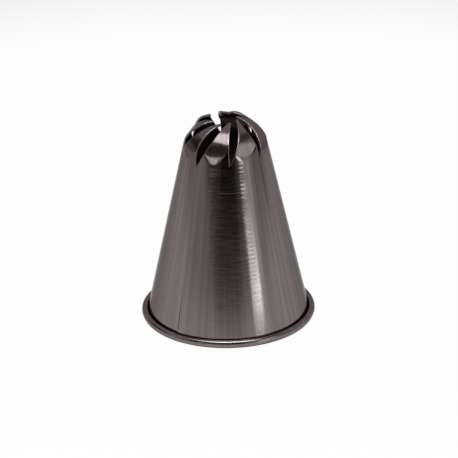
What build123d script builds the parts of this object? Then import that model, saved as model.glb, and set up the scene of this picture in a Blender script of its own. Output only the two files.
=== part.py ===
from build123d import *
import math
import os

# A pastry tube stands on its wide rolled rim, with its axis on +Z and z = 0 on the table.
# Azimuths are turned about +Z from the front, which is -Y, so that 90 degrees is +X.

# Wall: one sheet rolled into a cone
sheet_thickness = 0.45
rim_diameter = 40.0
root_height = 40.9
root_radius = 9.97

# Rolled rim: the sheet's edge turned outward into a small open tube, worn flat where it stands.
# Its round is drawn as short flat facets, because true rounds this small take many more triangles.
curl_radius = 0.9
curl_edge_gap = 0.3
rim_land_width = 0.5
curl_facets = 10

# Teeth: each is flat across, and bends slightly at its root, then over a shoulder and a tighter hook
tooth_count = 8
slot_azimuth = 6.0
root_bend = 1.2
shoulder_length = 3.6
shoulder_radius = 14.4
hook_length = 8.1
hook_radius = 8.5

# A tooth's sides run from its root to a narrow tip that is swung to one side. A side's two bows
# push it that way from the straight line, a third and two thirds of the way up.
tip_width = 0.4
tip_offset = 1.84
left_low_bow = 0.6
left_high_bow = 0.43
right_low_bow = -0.12
right_high_bow = 0.14

# Side seam: the blank's two edges stand this far apart, and a weld fills the space
seam_width = 0.4
seam_slot = -1
weld_crown = 0.05
weld_rim_clearance = 0.4

# Cuts and blanks run past what they cut by this much
overrun = 1.0

os.makedirs("parts", exist_ok=True)

# The curl's centre sits over the flat land, and the wall is tangent to the curl
land_rise = curl_radius - math.sqrt(curl_radius**2 - (rim_land_width / 2) ** 2)
curl_bore_radius = curl_radius - sheet_thickness
curl_centre_radius = rim_diameter / 2 - curl_radius
curl_centre_height = curl_radius - land_rise
lean_out = curl_centre_radius - root_radius
lean_up = root_height - curl_centre_height
wall_angle = math.atan2(lean_out, lean_up) - math.asin(curl_bore_radius / math.hypot(lean_out, lean_up))
wall_slope = math.tan(wall_angle)
wall_cos = math.cos(wall_angle)

# A tooth seen from the side: where its bends end, and the chord from its root to its tip
root_angle = wall_angle + math.radians(root_bend)
shoulder_turn = shoulder_length / shoulder_radius
hook_turn = hook_length / hook_radius
hook_angle = root_angle + shoulder_turn
tip_angle = hook_angle + hook_turn
shoulder_in = shoulder_radius * (math.cos(root_angle) - math.cos(hook_angle))
shoulder_up = shoulder_radius * (math.sin(hook_angle) - math.sin(root_angle))
tip_in = shoulder_in + hook_radius * (math.cos(hook_angle) - math.cos(tip_angle))
tip_up = shoulder_up + hook_radius * (math.sin(tip_angle) - math.sin(hook_angle))
chord_length = math.hypot(tip_in, tip_up)
chord_lean = math.atan2(tip_in, tip_up)
crown_top = root_height + tip_up + overrun
wall_top = root_height - sheet_thickness
tooth_pitch = 360 / tooth_count
half_pitch = math.radians(tooth_pitch / 2)


def wall_radius(height, inset):
    """Radius of the wall's outer face at a height, or of the face that lies inset under it."""
    return root_radius + (root_height - height) * wall_slope - inset / wall_cos


def solid_cone(inset, low, high):
    """The solid under the wall's outer face, or under the face that lies inset below it.

    It is turned so that its own start line lies on the -X side, away from the tooth cut from it.
    """
    cone = Cone(
        bottom_radius=wall_radius(low, inset),
        top_radius=wall_radius(high, inset),
        height=high - low,
        align=(Align.CENTER, Align.CENTER, Align.MIN),
    )
    return Pos(0, 0, low) * Rot(0, 0, 180) * cone


def curl_corners(radius, first, last, facets):
    """Corners of a round stretch of the curl's section, with its angles counted from outward."""
    angles = [first + (last - first) * corner / facets for corner in range(facets + 1)]
    return [
        (curl_centre_radius + radius * math.cos(angle), curl_centre_height + radius * math.sin(angle))
        for angle in angles
    ]


def rolled_wall():
    """The conical wall and its outward curl, revolved from the section of the sheet."""
    wall_side = math.pi + wall_angle
    edge = math.tau + wall_angle + math.acos((curl_edge_gap - curl_bore_radius) / curl_radius)
    down = math.pi * 3 / 2
    land_half = math.asin(rim_land_width / 2 / curl_radius)
    inner_facets = round(curl_facets * (down - wall_side) / (edge - wall_side))
    outline = Polyline(
        (wall_radius(wall_top, 0), wall_top),
        *curl_corners(curl_bore_radius, wall_side, edge, curl_facets),
        *curl_corners(curl_radius, edge, down + land_half, curl_facets - inner_facets),
        *curl_corners(curl_radius, down - land_half, wall_side, inner_facets),
        (wall_radius(wall_top, sheet_thickness), wall_top),
        close=True,
    )
    return revolve(Plane.XZ * make_face(outline), Axis.Z, 360)


def tooth_side(root_half_width, root_rise, tip_side, low_bow, high_bow):
    """One side of a tooth's outline, from its root to its tip, in its own two directions."""
    run = tip_side - root_half_width
    rise = chord_length - root_rise
    return Spline(
        (root_half_width, root_rise),
        (root_half_width + run / 3 + low_bow, root_rise + rise / 3),
        (root_half_width + run * 2 / 3 + high_bow, root_rise + rise * 2 / 3),
        (tip_side, chord_length),
    )


def tooth_outline():
    """The outline that a tooth is trimmed to, seen square to its chord."""
    half_width = root_radius * math.sin(half_pitch)
    rise = root_radius * (1 - math.cos(half_pitch)) * math.sin(chord_lean)
    foot_half_width = half_width + sheet_thickness
    foot = rise - overrun - sheet_thickness
    tip_left = tip_offset - tip_width / 2
    tip_right = tip_offset + tip_width / 2
    edges = Wire(
        [
            tooth_side(-half_width, rise, tip_left, left_low_bow, left_high_bow),
            Line((tip_left, chord_length), (tip_right, chord_length)),
            tooth_side(half_width, rise, tip_right, right_low_bow, right_high_bow),
            Line((half_width, rise), (foot_half_width, foot)),
            Line((foot_half_width, foot), (-foot_half_width, foot)),
            Line((-foot_half_width, foot), (-half_width, rise)),
        ]
    )
    return make_face(edges)


def under_roll(inset):
    """The space under a tooth's rolled face, or under the face that lies inset below it.

    Its outline runs up the tooth from below its root, over the shoulder and the hook to a little
    past the tip, and back down just past the tube's axis. It is extruded across the tooth.
    """
    along = Vector(-math.sin(root_angle), math.cos(root_angle))
    root = Vector(root_radius - inset * math.cos(root_angle), root_height - inset * math.sin(root_angle))
    start = root - along * (2 * overrun)
    past_tip = overrun / hook_radius
    shoulder = JernArc(root, along, shoulder_radius - inset, math.degrees(shoulder_turn))
    hook = JernArc(shoulder @ 1, shoulder % 1, hook_radius - inset, math.degrees(hook_turn + past_tip))
    top = Vector(-overrun - inset, (hook @ 1).Y)
    bottom = Vector(top.X, start.Y)
    outline = Wire(
        [Line(start, root), shoulder, hook, Line(hook @ 1, top), Line(top, bottom), Line(bottom, start)]
    )
    return extrude(Plane.XZ * make_face(outline), amount=root_radius, both=True)


def tooth():
    """One tooth on the +X side: the wall's cone below its crease, and its flat roll above it."""
    outside = solid_cone(0, wall_top, crown_top) & under_roll(0)
    inside = solid_cone(sheet_thickness, wall_top - overrun, crown_top) & under_roll(sheet_thickness)
    square_on = Plane(
        origin=(root_radius, 0, root_height),
        x_dir=(0, 1, 0),
        z_dir=(math.cos(chord_lean), 0, math.sin(chord_lean)),
    )
    trim = extrude(square_on * tooth_outline(), amount=chord_length / 2, both=True)
    return (outside - inside) & trim


def seam_slit(width, low, high):
    """An upright slab through one side of the wall, at the seam's azimuth."""
    slab = Box(rim_diameter, width, high - low, align=(Align.MIN, Align.CENTER, Align.MIN))
    azimuth = slot_azimuth + seam_slot * tooth_pitch
    return Rot(0, 0, azimuth - 90) * (Pos(0, 0, low) * slab)


def nozzle_body():
    """The rolled sheet with its rim and teeth, still open along the seam."""
    first = slot_azimuth + tooth_pitch / 2 - 90
    wall = rolled_wall()
    one_tooth = tooth()
    teeth = [Rot(0, 0, first + index * tooth_pitch) * one_tooth for index in range(tooth_count)]
    slit = seam_slit(seam_width, -overrun, root_height + seam_width)
    with BuildPart() as body:
        add(wall)
        add(teeth, clean=False)
        add(slit, mode=Mode.SUBTRACT, clean=False)
    return body.part


def seam_weld():
    """The weld that fills the seam from just over the rolled rim to the foot of a slot."""
    low = 2 * curl_radius + weld_rim_clearance
    ring = solid_cone(-weld_crown, low, root_height) - solid_cone(
        sheet_thickness + weld_crown, low, root_height
    )
    return ring & seam_slit(seam_width, low, root_height)


for name, piece in {"nozzle_body": nozzle_body(), "seam_weld": seam_weld()}.items():
    piece.label = name
    export_step(piece, "parts/" + name + ".step")
    size = piece.bounding_box().size
    print(name, len(piece.solids()), "solid", round(size.X, 2), round(size.Y, 2), round(size.Z, 2))
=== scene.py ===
import math

import bpy
from mathutils import Matrix, Vector


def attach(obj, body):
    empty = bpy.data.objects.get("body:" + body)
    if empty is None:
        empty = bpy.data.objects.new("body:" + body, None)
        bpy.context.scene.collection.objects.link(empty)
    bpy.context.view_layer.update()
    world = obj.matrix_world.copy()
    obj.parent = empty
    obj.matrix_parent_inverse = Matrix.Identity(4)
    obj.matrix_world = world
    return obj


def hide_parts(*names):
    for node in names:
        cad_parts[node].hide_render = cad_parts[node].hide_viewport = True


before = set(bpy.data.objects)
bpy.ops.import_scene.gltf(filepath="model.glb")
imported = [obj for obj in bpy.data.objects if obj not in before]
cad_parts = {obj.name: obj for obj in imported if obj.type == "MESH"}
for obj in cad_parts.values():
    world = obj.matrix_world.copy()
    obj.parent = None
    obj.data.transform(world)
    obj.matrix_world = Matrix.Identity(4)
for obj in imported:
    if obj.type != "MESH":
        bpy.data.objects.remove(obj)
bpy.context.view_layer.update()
mm = 0.001


# small helpers

def hexColour(text, alpha=1.0):
    # sRGB hex, as a colour picker shows it, to the linear values that Blender works in
    parts = [int(text[i:i + 2], 16) / 255 for i in (1, 3, 5)]
    linear = [c / 12.92 if c <= 0.04045 else ((c + 0.055) / 1.055) ** 2.4 for c in parts]
    return (*linear, alpha)


def addNode(tree, kind, settings=None, links=None):
    # settings: a property of the node, or a value for one of its inputs.
    # links: input name -> output socket
    node = tree.nodes.new(kind)
    for name, value in (settings or {}).items():
        if isinstance(name, str) and hasattr(node, name):
            setattr(node, name, value)
        else:
            node.inputs[name].default_value = value
    for name, socket in (links or {}).items():
        tree.links.new(socket, node.inputs[name])
    return node


def newMaterial(name):
    material = bpy.data.materials.new(name)
    material.use_nodes = True
    material.node_tree.nodes.clear()
    return material, material.node_tree


def smoothStep(value, low, high):
    t = min(max((value - low) / (high - low), 0.0), 1.0)
    return t * t * (3 - 2 * t)


# the tube: one rolled sheet with its rim curl and teeth

tube = {
    "sheet": 0.45,             # mm, all lengths here
    "rimDiameter": 40.0,
    "rootHeight": 40.9,
    "rootRadius": 9.97,
    "curlRadius": 0.9,
    "curlGap": 0.3,            # between the curl's raw edge and the wall
    "landWidth": 0.5,          # flat worn where the rim stands
    "teeth": 8,
    "slotAzimuth": 6.0,        # degrees from the front towards +X
    "rootBend": 1.2,           # degrees
    "shoulder": (3.6, 14.4),   # length, radius
    "hook": (8.1, 8.5),
    "tipWidth": 0.4,
    "tipOffset": 1.84,
    "leftBows": (0.6, 0.43),
    "rightBows": (-0.12, 0.14),
    # hand work on each tooth, from the seam round: its bend, its tip's push sideways and its sides' bows
    "toothBends": (0.007, -0.005, 0.055, -0.06, -0.033, -0.06, 0.043, 0.079),
    "tipShifts": (0, 0, 0, 0, -1.95, 0.6, 0, 0),
    "rightBowShifts": ((0.25, 0), (0, -0.7), (0, 0), (0, 0),
                       (1.3, 1.8), (0, 0), (0.6, 0.7), (0, 0)),
    "leftBowShifts": ((0, 0), (0, 0), (0, 0), (-0.8, -1.0),
                      (-0.4, -0.6), (0, 0), (0, 0), (0.3, 0.2)),
    "slotShifts": (-2.5, -1.2, 0, 0, 0, 0, 0, 0),   # degrees that each slot's foot stands off its place
    "slotDrops": (0.5, 0.25, 0, 0, 0, 0, 0, 0),     # and how much deeper it is cut
    "creaseSoftness": 0.12,
    "crossCrown": 0.004,       # a tooth isn't quite flat across
    "edgeRound": 0.07,
    "seamGap": 0.4,
    "seamGapAtRim": 0.14,
    "weldedFrom": 2.4,         # height over which the gap is as wide as the weld
    "seamStep": 0.3,           # how far the right-hand edge stands proud at the rim
    "seamStepReach": 7.0,      # along the arc
    "seamStepTop": 26.0,       # height where it has faded out
    "columnsPerTooth": 20,
    "toothRows": 56,
    "wallRows": 40,
    "curlRows": 30,
}

landRise = tube["curlRadius"] - math.sqrt(tube["curlRadius"] ** 2 - (tube["landWidth"] / 2) ** 2)
boreRadius = tube["curlRadius"] - tube["sheet"]
curlCentre = (tube["rimDiameter"] / 2 - tube["curlRadius"], tube["curlRadius"] - landRise)
leanOut = curlCentre[0] - tube["rootRadius"]
leanUp = tube["rootHeight"] - curlCentre[1]
wallAngle = math.atan2(leanOut, leanUp) - math.asin(boreRadius / math.hypot(leanOut, leanUp))
wallSlope = math.tan(wallAngle)
halfPitch = math.pi / tube["teeth"]
seamAzimuth = math.radians(tube["slotAzimuth"]) - 2 * halfPitch


def aroundAxis(azimuth, outward, across, height):
    # azimuth runs from the front, -Y, towards +X
    sine, cosine = math.sin(azimuth), math.cos(azimuth)
    return Vector((sine * outward + cosine * across, -cosine * outward + sine * across, height))


def seamShift(azimuth, radius, height):
    arc = (azimuth - seamAzimuth) * radius
    fade = 1 - smoothStep(height, 1.0, tube["seamStepTop"])
    return tube["seamStep"] * fade * math.exp(-arc / tube["seamStepReach"])


def wallSection():
    # the sheet's outer side, from the tooth roots down and round inside the curl.
    # each row is a radius, a height and the normal's two parts
    rows = []
    footHeight = curlCentre[1] + boreRadius * math.sin(math.pi + wallAngle)
    for row in range(tube["wallRows"]):
        height = tube["rootHeight"] + (footHeight - tube["rootHeight"]) * row / tube["wallRows"]
        radius = tube["rootRadius"] + (tube["rootHeight"] - height) * wallSlope
        rows.append((radius, height, math.cos(wallAngle), math.sin(wallAngle)))
    first = math.pi + wallAngle
    last = math.tau + wallAngle + math.acos((tube["curlGap"] - boreRadius) / tube["curlRadius"])
    for row in range(tube["curlRows"] + 1):
        angle = first + (last - first) * row / tube["curlRows"]
        normal = (-math.cos(angle), -math.sin(angle))
        radius, height = (curlCentre[i] - boreRadius * normal[i] for i in (0, 1))
        rows.append((radius, height, *normal))
    return rows


def toothForm(bend):
    # the side view of one tooth, measured along and square to the chord from its root to its tip
    form = {"rootAngle": wallAngle + math.radians(tube["rootBend"])}
    shoulderLength, shoulderRadius = tube["shoulder"]
    hookLength, hookRadius = tube["hook"]
    shoulderRadius, hookRadius = shoulderRadius / (1 + bend), hookRadius / (1 + bend)
    hookAngle = form["rootAngle"] + shoulderLength / shoulderRadius
    tipAngle = hookAngle + hookLength / hookRadius
    tipIn = shoulderRadius * (math.cos(form["rootAngle"]) - math.cos(hookAngle))
    tipIn += hookRadius * (math.cos(hookAngle) - math.cos(tipAngle))
    tipUp = shoulderRadius * (math.sin(hookAngle) - math.sin(form["rootAngle"]))
    tipUp += hookRadius * (math.sin(tipAngle) - math.sin(hookAngle))
    form["chord"] = math.hypot(tipIn, tipUp)
    lean = form["lean"] = math.atan2(tipIn, tipUp)
    turn = form["rootAngle"] - lean
    form["shoulderCentre"] = (-shoulderRadius * math.sin(turn), -shoulderRadius * math.cos(turn))
    turn = hookAngle - lean
    form["hookStart"] = form["shoulderCentre"][0] + shoulderRadius * math.sin(turn)
    meet = form["shoulderCentre"][1] + shoulderRadius * math.cos(turn)
    form["hookCentre"] = (form["hookStart"] - hookRadius * math.sin(turn),
                          meet - hookRadius * math.cos(turn))
    form["radii"] = (shoulderRadius, hookRadius)
    return form


def wallPlace(column, level):
    # a column's azimuth, and how far it is cut down. The slots' feet stray a little;
    # level is 1 at the tooth roots and 0 at the rim
    sector, part = divmod(column / tube["columnsPerTooth"], 1)
    slots = int(sector) % tube["teeth"], (int(sector) + 1) % tube["teeth"]
    shift = tube["slotShifts"][slots[0]] * (1 - part) + tube["slotShifts"][slots[1]] * part
    drop = tube["slotDrops"][slots[0]] * (1 - part) ** 5 + tube["slotDrops"][slots[1]] * part ** 5
    azimuth = seamAzimuth + 2 * halfPitch * column / tube["columnsPerTooth"]
    return azimuth + math.radians(shift) * level ** 3, drop * level ** 3


def toothHeight(form, across, along):
    # how far the outer face stands from the chord: the cone's face or the roll's,
    # whichever is lower, softly joined
    def rollHeight(centre, radius):
        return centre[1] + math.sqrt(radius ** 2 - (along - centre[0]) ** 2)

    lean = form["lean"]
    if along < 0:
        roll = along * math.tan(lean - form["rootAngle"])
    elif along < form["hookStart"]:
        roll = rollHeight(form["shoulderCentre"], form["radii"][0])
    else:
        roll = rollHeight(form["hookCentre"], form["radii"][1])
    sine, cosine = math.sin(lean), math.cos(lean)
    a = tube["rootRadius"] - along * sine
    b = tube["rootRadius"] - wallSlope * along * cosine
    k = wallSlope * sine
    squareTerm = cosine * cosine - k * k
    linearTerm = 2 * (a * cosine + b * k)
    constantTerm = a * a + across * across - b * b
    root = math.sqrt(max(linearTerm ** 2 - 4 * squareTerm * constantTerm, 0))
    cone = (root - linearTerm) / (2 * squareTerm)
    start = (tube["rootRadius"] - math.sqrt(max(tube["rootRadius"] ** 2 - across ** 2, 0))) * sine
    soft = max(tube["creaseSoftness"] * smoothStep(along - start, 0, 1.2), 1e-6)
    roll -= tube["crossCrown"] * across ** 2 * smoothStep(along - start, 0, 3)
    return min(roll, cone) - max(soft - abs(roll - cone), 0) ** 2 / (4 * soft)


def toothPoint(form, azimuth, across, along):
    height = toothHeight(form, across, along)
    outward = tube["rootRadius"] - along * math.sin(form["lean"]) + height * math.cos(form["lean"])
    upward = tube["rootHeight"] + along * math.cos(form["lean"]) + height * math.sin(form["lean"])
    return aroundAxis(azimuth, outward, across, upward)


def toothNormal(form, azimuth, across, along):
    step = 0.01
    above, below = (toothPoint(form, azimuth, across, along + move) for move in (step, -step))
    right, left = (toothPoint(form, azimuth, across + move, along) for move in (step, -step))
    return (right - left).cross(above - below).normalized()


def toothSide(root, tip, share, bows):
    # where a tooth's side runs: straight from root to tip, with two bows
    low, high = bows
    bow = 13.5 * share * (share - 1) * (low * (share - 2 / 3) - high * (share - 1 / 3))
    return root + (tip - root) * share + bow


def buildTube():
    points, faces, edgeFaces = [], [], {}

    def addPoint(point):
        points.append(point * mm)
        return len(points) - 1

    def addFace(corners, finish=0):
        if finish:
            edgeFaces[len(faces)] = finish
        faces.append(corners)

    columns = tube["columnsPerTooth"]
    section = wallSection()
    total = columns * tube["teeth"]
    wallOut, wallIn = [], []
    for column in range(total + 1):
        outRow, inRow = [], []
        for row, (radius, height, normalOut, normalUp) in enumerate(section):
            gap = tube["seamGap"] if height > tube["weldedFrom"] else tube["seamGapAtRim"]
            trim = math.asin(gap / 2 / radius)
            azimuth, drop = wallPlace(column, max(1 - row / tube["wallRows"], 0))
            azimuth += trim if column == 0 else -trim if column == total else 0
            height -= drop
            radius += drop * wallSlope
            shift = seamShift(azimuth, radius, height)
            outRow.append(addPoint(aroundAxis(azimuth, radius + shift, 0, height)))
            innerHeight = max(height - tube["sheet"] * normalUp, 0)
            innerRadius = radius - tube["sheet"] * normalOut + shift
            inRow.append(addPoint(aroundAxis(azimuth, innerRadius, 0, innerHeight)))
        wallOut.append(outRow)
        wallIn.append(inRow)
    last = len(section) - 1
    for column in range(total):
        for row in range(last):
            addFace([wallOut[column][row], wallOut[column][row + 1],
                     wallOut[column + 1][row + 1], wallOut[column + 1][row]])
            addFace([wallIn[column][row], wallIn[column + 1][row],
                     wallIn[column + 1][row + 1], wallIn[column][row + 1]])
        addFace([wallOut[column][last], wallIn[column][last],
                 wallIn[column + 1][last], wallOut[column + 1][last]], 2)
    for row in range(last):
        addFace([wallOut[0][row], wallIn[0][row], wallIn[0][row + 1], wallOut[0][row + 1]], 2)
        addFace([wallOut[total][row], wallOut[total][row + 1],
                 wallIn[total][row + 1], wallIn[total][row]], 2)

    for tooth in range(tube["teeth"]):
        addTooth(tooth, columns, wallOut, wallIn, addPoint, addFace)
    return points, faces, edgeFaces


def addTooth(tooth, columns, wallOut, wallIn, addPoint, addFace):
    # rings round the tooth, each along its outer face, over one cut side, back along its inner
    # face and over the other
    centre = seamAzimuth + halfPitch + 2 * halfPitch * tooth
    form = toothForm(tube["toothBends"][tooth])
    thickness, corner = tube["sheet"], tube["edgeRound"]
    firstColumn = tooth * columns
    tip = tube["tipOffset"] + tube["tipShifts"][tooth]
    leftBows = [bow + shift for bow, shift in zip(tube["leftBows"], tube["leftBowShifts"][tooth])]
    rightBows = [bow + shift for bow, shift in zip(tube["rightBows"], tube["rightBowShifts"][tooth])]
    feet = []
    for column in range(columns + 1):
        azimuth, drop = wallPlace(firstColumn + column, 1)
        if tooth == tube["teeth"] - 1 and column == columns:
            azimuth, drop = wallPlace(0, 1)
            azimuth += math.tau
        radius = tube["rootRadius"] + drop * wallSlope
        if firstColumn + column in (0, columns * tube["teeth"]):
            azimuth += math.asin(tube["seamGap"] / 2 / radius) * (1 if column == 0 else -1)
        outward = radius * math.cos(azimuth - centre)
        feet.append((radius * math.sin(azimuth - centre),
                     (tube["rootRadius"] - outward) * math.sin(form["lean"])
                     - drop * math.cos(form["lean"])))
    rings = []
    rows = tube["toothRows"]
    for row in range(1, rows + 2):
        share = min(row / rows, 1)
        share = share * (1 - corner / form["chord"]) if row <= rows else 1
        isEnd = row == rows + 1
        left = toothSide(feet[0][0], tip - tube["tipWidth"] / 2, share, leftBows)
        right = toothSide(feet[-1][0], tip + tube["tipWidth"] / 2, share, rightBows)
        ease = corner * smoothStep(row, 0, 3)
        outer, inner = [], []
        for column in range(columns + 1):
            part = (feet[column][0] - feet[0][0]) / (feet[-1][0] - feet[0][0])
            across = left + ease + (right - left - 2 * ease) * part
            start = feet[column][1]
            along = start + (form["chord"] - start) * share
            point = toothPoint(form, centre, across, along)
            normal = toothNormal(form, centre, across, along)
            drop = corner if isEnd else 0
            outer.append((point - normal * drop, normal))
            inner.append((point - normal * (thickness - drop), normal))
        ring = [addPoint(point) for point, normal in outer]
        back = [addPoint(point) for point, normal in reversed(inner)]
        strips = []
        sides = ((columns, columns - 1, ring[-1], back[0]), (0, 1, ring[0], back[-1]))
        for place, beside, first, last in sides:
            outerPoint, normal = outer[place]
            innerPoint = inner[place][0]
            sideways = (outerPoint - outer[beside][0]).normalized() * ease
            inset = normal * ease
            if isEnd:
                bulge = [outerPoint.lerp(innerPoint, depth) + sideways * 0.3 for depth in (0.2, 0.8)]
                strips.append([first, *map(addPoint, bulge), last])
            else:
                halfOut, halfIn = math.sqrt(0.5), 1 - math.sqrt(0.5)   # half way round each corner
                rounded = (outerPoint + sideways * halfOut - inset * halfIn, outerPoint + sideways - inset,
                           innerPoint + sideways + inset, innerPoint + sideways * halfOut + inset * halfIn)
                strips.append([addPoint(point) for point in rounded])
        rings.append(ring + strips[0] + back + strips[1][::-1])

    # the first ring is the wall's own top edge, where the strips of a side are one corner each
    foot = [wallOut[firstColumn + column][0] for column in range(columns + 1)]
    footIn = [wallIn[firstColumn + column][0] for column in range(columns + 1)]
    footRing = foot + [foot[-1], foot[-1], footIn[-1], footIn[-1]] + footIn[::-1]
    footRing += [footIn[0], footIn[0], foot[0], foot[0]]
    rings.insert(0, footRing)
    size = len(footRing)
    for low, high in zip(rings, rings[1:]):
        for place in range(size):
            following = (place + 1) % size
            corners = [low[place], low[following], high[following], high[place]]
            corners = [c for i, c in enumerate(corners) if c not in corners[:i]]
            onEdge = place - columns if place < size / 2 else size - 1 - place
            finish = 2 if onEdge == 2 else 1 if 0 <= onEdge < 5 else 0
            if len(corners) > 2:
                addFace(corners, finish)
    end = rings[-1]
    for column in range(columns):
        addFace([end[column], end[column + 1],
                 end[2 * columns + 5 - column - 1], end[2 * columns + 5 - column]], 2)
    addFace(end[columns + 1:columns + 5], 2)
    addFace(end[2 * columns + 6:], 2)


def makeObject(name, points, faces):
    mesh = bpy.data.meshes.new(name)
    mesh.from_pydata(points, [], faces)
    mesh.polygons.foreach_set("use_smooth", [True] * len(mesh.polygons))
    mesh.validate()
    mesh.set_sharp_from_angle(angle=math.radians(50))
    piece = bpy.data.objects.new(name, mesh)
    bpy.context.scene.collection.objects.link(piece)
    return piece


# stainless steel sheet, turned and polished

steel = {
    "colours": ("#716867", "#7F7574"),  # the metal's own reflection, slightly warm, in upright streaks
    "grazing": "#B4B4B4",      # handling film dulls it where it is seen edge on
    "roughness": 0.15,
    "smear": 0.6,              # turning marks run round the wall, so reflections smear up and down it
    "ringSpacing": 0.24,       # mm; real marks are about 0.1, drawn as coarse as the render can show
    "ringDepth": 0.0012,
    "waveSpacing": 0.95,
    "waveDepth": 0.007,
    "waveChange": 0.35,        # how soon, per mm of height, the waves change their depth
    "waveReach": (10.0, 18.0),  # heights between which they set in
    "waveSide": (0.25, 0.31, 0.38, 0.44),  # where they set in and fade out, as the sine of the azimuth
    "scratchHeight": 34.85,
    "scratchWidth": 0.1,
    "scratchSpan": (1.6, 3.3),  # where it lies from side to side: its middle and half its length
    "scratchDepth": 0.02,
    "streakRadius": 15.0,      # the wall's radius at which a streak has the spacings given here
    "streakTurn": 0.0006,
    "streakSpacing": 2.4,
    "fineStreakSpacing": 0.9,
    "streakDepth": 0.01,
    "polishFrom": (39.5, 43.0),  # height over which the turned finish gives way to polished teeth
    "polish": 0.85,             # how much of the roughness is left on them
    "marksOnTeeth": 0.12,       # and of the turning marks
}


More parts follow.
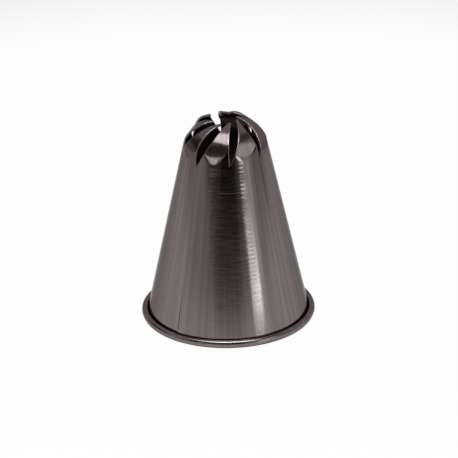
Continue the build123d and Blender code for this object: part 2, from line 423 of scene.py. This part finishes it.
def steelMaterial():
    # AISI 304 sheet: hard, grey, slightly warm mirror broken by fine turning marks round the wall
    material, tree = newMaterial("turned stainless steel sheet")
    place = addNode(tree, "ShaderNodeTexCoord")
    inMillimetres = addNode(tree, "ShaderNodeVectorMath", {"operation": "SCALE", "Scale": 1000.0},
                            {0: place.outputs["Object"]})
    parts = addNode(tree, "ShaderNodeSeparateXYZ", {}, {0: inMillimetres.outputs[0]})
    ringScale = 1 / steel["ringSpacing"]
    stretched = addNode(tree, "ShaderNodeVectorMath",
                        {"operation": "MULTIPLY", 1: (0.25, 0.25, ringScale)}, {0: inMillimetres.outputs[0]})
    rings = addNode(tree, "ShaderNodeTexNoise", {"Scale": 1.0, "Detail": 4.0, "Roughness": 0.65},
                    {"Vector": stretched.outputs[0]})
    # coordinates that run straight up the cone: the direction from the axis, and a little of the height
    flat = addNode(tree, "ShaderNodeVectorMath", {"operation": "MULTIPLY", 1: (1, 1, 0)},
                   {0: inMillimetres.outputs[0]})
    outward = addNode(tree, "ShaderNodeVectorMath", {"operation": "NORMALIZE"}, {0: flat.outputs[0]})
    lift = addNode(tree, "ShaderNodeVectorMath",
                   {"operation": "MULTIPLY", 1: (0, 0, steel["streakTurn"])}, {0: inMillimetres.outputs[0]})
    upTheWall = addNode(tree, "ShaderNodeVectorMath", {"operation": "ADD"},
                        {0: outward.outputs[0], 1: lift.outputs[0]})
    streaks = addNode(tree, "ShaderNodeTexNoise",
                      {"Scale": steel["streakRadius"] / steel["streakSpacing"], "Detail": 2.0,
                       "Roughness": 0.5},
                      {"Vector": upTheWall.outputs[0]})
    # waves left by the turning tool where it pressed hardest: evenly spaced, but deep only here and there
    wide = addNode(tree, "ShaderNodeVectorMath",
                   {"operation": "MULTIPLY", 1: (0.1, 0.1, steel["waveChange"])},
                   {0: inMillimetres.outputs[0]})
    change = addNode(tree, "ShaderNodeTexNoise", {"Scale": 1.0, "Detail": 1.0, "Roughness": 0.5},
                     {"Vector": wide.outputs[0]})
    phase = addNode(tree, "ShaderNodeMath", {"operation": "MULTIPLY", 1: math.tau / steel["waveSpacing"]},
                    {0: parts.outputs["Z"]})
    wave = addNode(tree, "ShaderNodeMath", {"operation": "SINE"}, {0: phase.outputs[0]})
    depth = addNode(tree, "ShaderNodeMapRange", {"From Min": 0.35, "From Max": 0.6},
                    {"Value": change.outputs["Fac"]})
    low, high = steel["waveReach"]
    reach = addNode(tree, "ShaderNodeMapRange", {"From Min": low, "From Max": high},
                    {"Value": parts.outputs["Z"]})
    sideways = addNode(tree, "ShaderNodeSeparateXYZ", {}, {0: outward.outputs[0]})
    setFrom, setTo, fadeFrom, fadeTo = steel["waveSide"]
    setIn = addNode(tree, "ShaderNodeMapRange", {"From Min": setFrom, "From Max": setTo},
                    {"Value": sideways.outputs["X"]})
    fadeOut = addNode(tree, "ShaderNodeMapRange",
                      {"From Min": fadeFrom, "From Max": fadeTo, "To Min": 1.0, "To Max": 0.0},
                      {"Value": sideways.outputs["X"]})
    waves = wave
    for part in (depth, reach, setIn, fadeOut):
        waves = addNode(tree, "ShaderNodeMath", {"operation": "MULTIPLY"},
                        {0: waves.outputs[0], 1: part.outputs[0]})
    low, high = steel["polishFrom"]
    turned = addNode(tree, "ShaderNodeMapRange",
                     {"From Min": low, "From Max": high, "To Min": 1.0, "To Max": steel["marksOnTeeth"]},
                     {"Value": parts.outputs["Z"]})
    ringBump = addNode(tree, "ShaderNodeBump", {"Distance": steel["ringDepth"] * mm},
                       {"Height": rings.outputs["Fac"], "Strength": turned.outputs[0]})
    waveBump = addNode(tree, "ShaderNodeBump", {"Distance": steel["waveDepth"] * mm},
                       {"Height": waves.outputs[0], "Strength": turned.outputs[0],
                        "Normal": ringBump.outputs[0]})
    # one scratch left by the turning tool, part of the way round the front
    onLine = addNode(tree, "ShaderNodeMath",
                     {"operation": "COMPARE", 1: steel["scratchHeight"], 2: steel["scratchWidth"] / 2},
                     {0: parts.outputs["Z"]})
    middle, halfSpan = steel["scratchSpan"]
    onFront = addNode(tree, "ShaderNodeMath", {"operation": "COMPARE", 1: middle, 2: halfSpan},
                      {0: parts.outputs["X"]})
    scratch = addNode(tree, "ShaderNodeMath", {"operation": "MULTIPLY"},
                      {0: onLine.outputs[0], 1: onFront.outputs[0]})
    scratchBump = addNode(tree, "ShaderNodeBump", {"Distance": steel["scratchDepth"] * mm, "invert": True},
                          {"Height": scratch.outputs[0], "Normal": waveBump.outputs[0]})
    streakBump = addNode(tree, "ShaderNodeBump", {"Distance": steel["streakDepth"] * mm, "Strength": 0.6},
                         {"Height": streaks.outputs["Fac"], "Normal": scratchBump.outputs[0]})
    ringRoughness = addNode(tree, "ShaderNodeMapRange",
                            {"From Min": 0.3, "From Max": 0.7, "To Min": steel["roughness"] - 0.05,
                             "To Max": steel["roughness"] + 0.05}, {"Value": rings.outputs["Fac"]})
    polish = addNode(tree, "ShaderNodeMapRange",
                     {"From Min": low, "From Max": high, "To Min": 1.0, "To Max": steel["polish"]},
                     {"Value": parts.outputs["Z"]})
    roughness = addNode(tree, "ShaderNodeMath", {"operation": "MULTIPLY"},
                        {0: ringRoughness.outputs[0], 1: polish.outputs[0]})
    tangent = addNode(tree, "ShaderNodeTangent", {"direction_type": "RADIAL", "axis": "Z"})
    fineStreaks = addNode(tree, "ShaderNodeTexNoise",
                          {"Scale": steel["streakRadius"] / steel["fineStreakSpacing"], "Detail": 3.0,
                           "Roughness": 0.6}, {"Vector": upTheWall.outputs[0]})
    contrast = addNode(tree, "ShaderNodeMapRange", {"From Min": 0.35, "From Max": 0.65},
                       {"Value": fineStreaks.outputs["Fac"]})
    tone = addNode(tree, "ShaderNodeMix", {"data_type": "RGBA", "A": hexColour(steel["colours"][0]),
                                          "B": hexColour(steel["colours"][1])})
    tree.links.new(contrast.outputs[0], tone.inputs["Factor"])
    shader = addNode(tree, "ShaderNodeBsdfPrincipled",
                     {"Metallic": 1.0, "Anisotropic": steel["smear"], "Anisotropic Rotation": 0.25,
                      "Specular Tint": hexColour(steel["grazing"])},
                     {"Base Color": tone.outputs["Result"], "Roughness": roughness.outputs[0],
                      "Normal": streakBump.outputs[0], "Tangent": tangent.outputs[0]})
    addNode(tree, "ShaderNodeOutputMaterial", {}, {"Surface": shader.outputs[0]})
    return material


def arrisMaterial():
    # the burnished corner of a sheared edge: rubbed smooth, and given a metal lighter than the wall's, a
    # painted highlight that makes it the brightest line on the part
    material, tree = newMaterial("burnished arris of stainless sheet")
    place = addNode(tree, "ShaderNodeTexCoord")
    grain = addNode(tree, "ShaderNodeTexNoise", {"Scale": 4000.0, "Detail": 2.0},
                    {"Vector": place.outputs["Object"]})
    bump = addNode(tree, "ShaderNodeBump", {"Distance": 0.01 * mm, "Strength": 0.5},
                   {"Height": grain.outputs["Fac"]})
    shader = addNode(tree, "ShaderNodeBsdfPrincipled",
                     # painted highlight: this base colour is far lighter than the wall's steel, so the
                     # corners show as bright lines
                     {"Base Color": hexColour("#A89F9F"), "Metallic": 1.0, "Roughness": 0.25},
                     {"Normal": bump.outputs[0]})
    addNode(tree, "ShaderNodeOutputMaterial", {}, {"Surface": shader.outputs[0]})
    return material


def tornEdgeMaterial():
    # the torn part of a sheared edge: a dull grey fracture with a coarse grain through the sheet
    material, tree = newMaterial("sheared face of stainless sheet")
    place = addNode(tree, "ShaderNodeTexCoord")
    grain = addNode(tree, "ShaderNodeTexNoise", {"Scale": 6000.0, "Detail": 3.0},
                    {"Vector": place.outputs["Object"]})
    tone = addNode(tree, "ShaderNodeMix",
                   {"data_type": "RGBA", "A": hexColour("#5A5252"), "B": hexColour("#7A7171")})
    tree.links.new(grain.outputs["Fac"], tone.inputs["Factor"])
    bump = addNode(tree, "ShaderNodeBump", {"Distance": 0.02 * mm, "Strength": 0.6},
                   {"Height": grain.outputs["Fac"]})
    shader = addNode(tree, "ShaderNodeBsdfPrincipled", {"Metallic": 1.0, "Roughness": 0.42},
                     {"Base Color": tone.outputs["Result"], "Normal": bump.outputs[0]})
    addNode(tree, "ShaderNodeOutputMaterial", {}, {"Surface": shader.outputs[0]})
    return material


points, faces, edgeFaces = buildTube()
tubePiece = makeObject("rolled_tube_with_teeth", points, faces)
tubePiece.data.materials.append(steelMaterial())
tubePiece.data.materials.append(arrisMaterial())
tubePiece.data.materials.append(tornEdgeMaterial())
for index, finish in edgeFaces.items():
    tubePiece.data.polygons[index].material_index = finish
shading = tubePiece.modifiers.new("even shading", "WEIGHTED_NORMAL")
shading.mode = "FACE_AREA"
shading.weight = 100
shading.keep_sharp = True
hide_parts("nozzle_body")
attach(tubePiece, "root")
print("tube:", len(points), "points,", len(faces), "faces")


# the seam weld

weld = {
    "low": 2.2,
    "crown": 0.004,
    "rippleSpacing": 0.35,
    "rippleDepth": 0.001,
    "rows": 220,
    "ways": 6,
}


def buildWeld():
    # a shallow ridge between the sheet's two edges, from just over the rim to a slot's foot,
    # rippled along its length
    points, faces = [], []
    top = tube["rootHeight"] - tube["slotDrops"][0]
    for row in range(weld["rows"] + 1):
        height = weld["low"] + (top - weld["low"]) * row / weld["rows"]
        radius = tube["rootRadius"] + (tube["rootHeight"] - height) * wallSlope
        azimuth = wallPlace(0, row / weld["rows"])[0]
        ripple = weld["rippleDepth"] * math.sin(math.tau * height / weld["rippleSpacing"])
        for face in (0, 1):
            for way in range(weld["ways"] + 1):
                t = way / weld["ways"]
                if face:
                    t = 1 - t
                across = tube["seamGap"] * (t - 0.5)
                shift = seamShift(seamAzimuth, radius, height) * t
                crown = (weld["crown"] + ripple) * math.sin(math.pi * t)
                depth = crown if face == 0 else -tube["sheet"] / math.cos(wallAngle) - crown
                points.append(aroundAxis(azimuth, radius + shift + depth, across, height) * mm)
    ring = 2 * (weld["ways"] + 1)
    for row in range(weld["rows"]):
        for way in range(ring):
            a, b = row * ring + way, row * ring + (way + 1) % ring
            faces.append([a, b, b + ring, a + ring])
    faces.append(list(range(ring))[::-1])
    faces.append([weld["rows"] * ring + way for way in range(ring)])
    return points, faces


def weldMaterial():
    # weld without filler: the sheet's own metal, ground flush, with a dull grain where it had melted
    material, tree = newMaterial("dressed weld on stainless steel")
    place = addNode(tree, "ShaderNodeTexCoord")
    grain = addNode(tree, "ShaderNodeTexNoise", {"Scale": 3000.0, "Detail": 3.0},
                    {"Vector": place.outputs["Object"]})
    tone = addNode(tree, "ShaderNodeMix",
                   {"data_type": "RGBA", "A": hexColour("#6E6565"), "B": hexColour("#7E7474")})
    tree.links.new(grain.outputs["Fac"], tone.inputs["Factor"])
    shader = addNode(tree, "ShaderNodeBsdfPrincipled",
                     {"Metallic": 1.0, "Roughness": 0.22, "Specular Tint": hexColour(steel["grazing"])},
                     {"Base Color": tone.outputs["Result"]})
    addNode(tree, "ShaderNodeOutputMaterial", {}, {"Surface": shader.outputs[0]})
    return material


points, faces = buildWeld()
weldPiece = makeObject("side_seam_weld", points, faces)
weldPiece.data.materials.append(weldMaterial())
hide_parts("seam_weld")
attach(weldPiece, "root")
print("weld:", len(points), "points")


# floor, light and camera

studio = {
    "floorColour": "#F6F6F6",
    "floorRadius": 0.7,
    "paperReach": (0.16, 0.30),  # the paper glows white as far as this, and beyond it the glow is darkened to a painted half shade
    "paintedPaperShade": "#BDB5B5",
    "paperGlow": 0.95,           # the rest of its light is reflected, so it keeps the tube's shadow
    "underTube": 0.0196,         # little light reaches the paper inside the tube
    "lightUnderTube": 0.06,
    "horizonColour": "#D1C3C3",  # the room's walls, seen in the metal
    "upperColour": "#C4B9B9",
    "roomStrength": 1.0,
    "upperFrom": (0.25, 0.6),    # the sine of the elevation over which the walls darken
}


def buildFloor():
    steps = 96
    points = [Vector((0, 0, 0))]
    points += [aroundAxis(math.tau * i / steps, studio["floorRadius"], 0, 0) for i in range(steps)]
    faces = [[0, 1 + i, 1 + (i + 1) % steps] for i in range(steps)]
    floor = makeObject("studio_floor", points, faces)
    material, tree = newMaterial("white paper sweep")
    path = addNode(tree, "ShaderNodeLightPath")
    seen = addNode(tree, "ShaderNodeMath", {"operation": "MAXIMUM"},
                   {0: path.outputs["Is Camera Ray"], 1: path.outputs["Is Glossy Ray"]})
    seen = addNode(tree, "ShaderNodeMath", {"operation": "MAXIMUM"},
                   {0: seen.outputs[0], 1: path.outputs["Is Transmission Ray"]})
    place = addNode(tree, "ShaderNodeTexCoord")
    away = addNode(tree, "ShaderNodeVectorMath", {"operation": "LENGTH"}, {0: place.outputs["Object"]})
    outside = addNode(tree, "ShaderNodeMapRange",
                      {"From Min": studio["underTube"], "From Max": studio["underTube"] + 0.0001,
                       "To Min": studio["lightUnderTube"], "To Max": 1.0}, {"Value": away.outputs["Value"]})
    lit = addNode(tree, "ShaderNodeMath", {"operation": "MULTIPLY"},
                  {0: seen.outputs[0], 1: outside.outputs[0]})
    share = addNode(tree, "ShaderNodeMath", {"operation": "MULTIPLY", 1: studio["paperGlow"]},
                    {0: lit.outputs[0]})
    near, far = studio["paperReach"]
    shade = addNode(tree, "ShaderNodeMapRange",
                    {"From Min": near, "From Max": far, "interpolation_type": "SMOOTHSTEP"},
                    {"Value": away.outputs["Value"]})
    # painted shade: the glow's colour goes from white to the shade colour beyond paperReach
    tone = addNode(tree, "ShaderNodeMix", {"data_type": "RGBA", "A": hexColour("#FFFFFF"),
                                          "B": hexColour(studio["paintedPaperShade"])})
    tree.links.new(shade.outputs[0], tone.inputs["Factor"])
    paper = addNode(tree, "ShaderNodeBsdfDiffuse", {"Color": hexColour(studio["floorColour"])})
    white = addNode(tree, "ShaderNodeEmission", {"Strength": 1.0}, {"Color": tone.outputs["Result"]})
    mixed = addNode(tree, "ShaderNodeMixShader", {},
                    {0: share.outputs[0], 1: paper.outputs[0], 2: white.outputs[0]})
    addNode(tree, "ShaderNodeOutputMaterial", {}, {"Surface": mixed.outputs[0]})
    floor.data.materials.append(material)


softBox = {
    "place": (-0.065, -0.19, 0.62),
    "aim": (-0.065, -0.19, 0),
    "size": (0.43, 0.42),
    "brightness": 3.0,           # what a mirror would show of it, 1 being white
    "colour": "#F6FFFF",
}


def addSoftBox():
    width, depth = softBox["size"]
    data = bpy.data.lights.new("overhead_soft_box", "AREA")
    data.shape = "RECTANGLE"
    data.size, data.size_y = width, depth
    data.energy = softBox["brightness"] * math.pi * width * depth
    data.color = hexColour(softBox["colour"])[:3]
    lamp = bpy.data.objects.new("overhead_soft_box", data)
    lamp.location = softBox["place"]
    lamp.rotation_euler = (Vector(softBox["aim"]) - lamp.location).to_track_quat("-Z", "Y").to_euler()
    bpy.context.scene.collection.objects.link(lamp)


def buildRoom():
    # an even room, darker above head height
    world = bpy.data.worlds.new("studio_room")
    bpy.context.scene.world = world
    world.use_nodes = True
    tree = world.node_tree
    tree.nodes.clear()
    place = addNode(tree, "ShaderNodeTexCoord")
    parts = addNode(tree, "ShaderNodeSeparateXYZ", {}, {0: place.outputs["Generated"]})
    low, high = studio["upperFrom"]
    blend = addNode(tree, "ShaderNodeMapRange",
                    {"From Min": low, "From Max": high, "interpolation_type": "SMOOTHSTEP"},
                    {"Value": parts.outputs["Z"]})
    tone = addNode(tree, "ShaderNodeMix", {"data_type": "RGBA", "A": hexColour(studio["horizonColour"]),
                                          "B": hexColour(studio["upperColour"])})
    tree.links.new(blend.outputs[0], tone.inputs["Factor"])
    background = addNode(tree, "ShaderNodeBackground", {"Strength": studio["roomStrength"]})
    tree.links.new(tone.outputs["Result"], background.inputs["Color"])
    addNode(tree, "ShaderNodeOutputWorld", {}, {"Surface": background.outputs[0]})


# Cards that only the metal sees. Those near the tube let a reflection change from the wall's foot
# to its top, and those far off are seen only where turning marks tilt the metal.
# Azimuths are in degrees, the rest in metres
cards = {
    "dark_front": {
        "distance": 0.2, "colour": "#6E605E", "strength": 1.0, "fade": (0.008, 0.028, 0.08),
        "edges": [(-13, -0.01, 0.3), (4, -0.01, 0.3), (22, -0.01, 0.3)]},
    "dark_front_right": {
        "distance": 0.2, "colour": "#A89A98", "strength": 1.0, "fade": (0.006, 0.028, 0.1),
        "edges": [(22, -0.01, 0.06), (29, -0.01, 0.042), (36, -0.01, 0.031), (43, -0.01, 0.027)]},
    "dark_behind_glints": {
        "distance": 1.15, "colour": "#3A3434", "strength": 1.0,
        "edges": [(30, -0.08, 0.065), (46, -0.08, 0.065)]},
    "dark_front_left": {
        "distance": 0.25, "colour": "#3A3434", "strength": 1.0,
        "edges": [(-54, 0.036, 0.062), (-38, 0.026, 0.062), (-24, 0.012, 0.062), (-13, -0.002, 0.062)]},
    "dark_left": {
        "distance": 0.5, "colour": "#4A4444", "strength": 1.0,
        "edges": [(-52, 0.17, 0.74), (-33, 0.17, 0.74), (-14, 0.17, 0.74)]},
    "dark_right": {
        "distance": 0.45, "colour": "#6A6464", "strength": 1.0,
        "edges": [(62, 0.45, 0.8), (86, 0.55, 0.8), (125, 0.55, 0.8)]},
    "dark_far_left": {
        "distance": 0.4, "colour": "#4A4444", "strength": 1.0,
        "edges": [(-120, 0.15, 0.22), (-110, 0.06, 0.22), (-98, 0.05, 0.18), (-84, 0.05, 0.14)]},
    "half_dark_far_left": {
        "distance": 0.45, "colour": "#8A8282", "strength": 1.0,
        "edges": [(-128, 0.13, 0.28), (-114, 0.045, 0.28), (-96, 0.045, 0.24), (-78, 0.045, 0.18)]},
    "dark_low_right": {
        "distance": 0.3, "colour": "#6A6262", "strength": 1.0,
        "edges": [(58, 0.054, 0.115), (66, 0.026, 0.115), (92, 0.026, 0.08)]},
    "light_front_left": {
        "distance": 0.4, "colour": "#FFFFFF", "strength": 2.0,
        "edges": [(-39, 0.06, 0.16), (-28, 0.06, 0.16)]},
    "light_streak": {
        "distance": 0.16, "colour": "#FAFFFF", "strength": 4.0, "fade": (0.0, 0.028, 0.18),
        "edges": [(35, 0.0, 0.018), (40, 0.0, 0.026), (45, 0.0, 0.034), (51, 0.0, 0.05)]},
    "light_streak_foot": {
        "distance": 0.15, "colour": "#FAFFFF", "strength": 9.5,
        "edges": [(40, 0.0, 0.004), (51, 0.0, 0.004)]},
    "light_glints": {
        "distance": 1.2, "colour": "#FAFFFF", "strength": 4.0,
        "edges": [(33, 0.07, 0.26), (47, 0.07, 0.26)]},
    "light_shoulder": {
        "distance": 0.17, "colour": "#FAFFFF", "strength": 1.25, "fade": (0.008, 0.032, 0.85),
        "edges": [(48, 0.0, 0.06), (53, 0.0, 0.06), (58, 0.0, 0.06)]},
    "pale_right": {
        "distance": 0.18, "colour": "#E2DADA", "strength": 1.0,
        "edges": [(58, 0.0, 0.06), (68, 0.0, 0.06)]},
    "dark_line_right": {
        "distance": 0.15, "colour": "#A09898", "strength": 1.0,
        "edges": [(90, 0.009, 0.03), (97, 0.009, 0.03)]},
    "light_over_front": {
        "distance": 0.3, "colour": "#FAFFFF", "strength": 6.5,
        "edges": [(-28, 0.5, 1.0), (0, 0.5, 1.0), (28, 0.5, 1.0), (66, 0.5, 1.0)]},
    "light_right": {
        "distance": 0.5, "colour": "#FFFFFF", "strength": 1.3,
        "edges": [(48, 0.145, 0.44), (64, 0.145, 0.44)]},
}


def addCard(name, card):
    # bent round the tube; each edge is its azimuth and its low and high end. fade: a low and a high
    # height, between which the card's light falls, and the share that is left above
    points = []
    for azimuth, low, high in card["edges"]:
        for height in (low, high):
            points.append(aroundAxis(math.radians(azimuth), card["distance"], 0, height))
    faces = [[2 * i, 2 * i + 2, 2 * i + 3, 2 * i + 1] for i in range(len(card["edges"]) - 1)]
    piece = makeObject(name, points, faces)
    material, tree = newMaterial(name + "_glow")
    strength = card["strength"]
    glow = addNode(tree, "ShaderNodeEmission", {"Color": hexColour(card["colour"]), "Strength": strength})
    if "fade" in card:
        low, high, left = card["fade"]
        place = addNode(tree, "ShaderNodeTexCoord")
        parts = addNode(tree, "ShaderNodeSeparateXYZ", {}, {0: place.outputs["Object"]})
        level = addNode(tree, "ShaderNodeMapRange",
                        {"From Min": low, "From Max": high, "To Min": strength, "To Max": strength * left},
                        {"Value": parts.outputs["Z"]})
        tree.links.new(level.outputs[0], glow.inputs["Strength"])
    addNode(tree, "ShaderNodeOutputMaterial", {}, {"Surface": glow.outputs[0]})
    piece.data.materials.append(material)
    piece.visible_camera = False
    piece.visible_diffuse = False
    piece.visible_shadow = False


photo = {
    "distance": 1.0,
    "elevation": 25.03,
    "roll": -1.02,
    "aim": (0.46, 0.0, 20.78),  # mm
    "focal": 342.1,
}


def placeCamera():
    data = bpy.data.cameras.new("photo_camera")
    data.sensor_width = 36
    data.lens = photo["focal"]
    data.clip_start = 0.01
    camera = bpy.data.objects.new("photo_camera", data)
    elevation, roll = math.radians(photo["elevation"]), math.radians(photo["roll"])
    back = Vector((0, -math.cos(elevation), math.sin(elevation)))
    right = Vector((1, 0, 0))
    up = back.cross(right)
    turnedRight = right * math.cos(roll) + up * math.sin(roll)
    turnedUp = up * math.cos(roll) - right * math.sin(roll)
    axes = Matrix((turnedRight, turnedUp, back)).transposed().to_4x4()
    axes.translation = Vector(photo["aim"]) * mm + back * photo["distance"]
    camera.matrix_world = axes
    bpy.context.scene.collection.objects.link(camera)
    bpy.context.scene.camera = camera


buildFloor()
buildRoom()
addSoftBox()
for name, card in cards.items():
    addCard(name, card)
placeCamera()
bpy.context.scene.view_settings.view_transform = "Standard"
print("studio: floor, room, soft box, cards and camera")
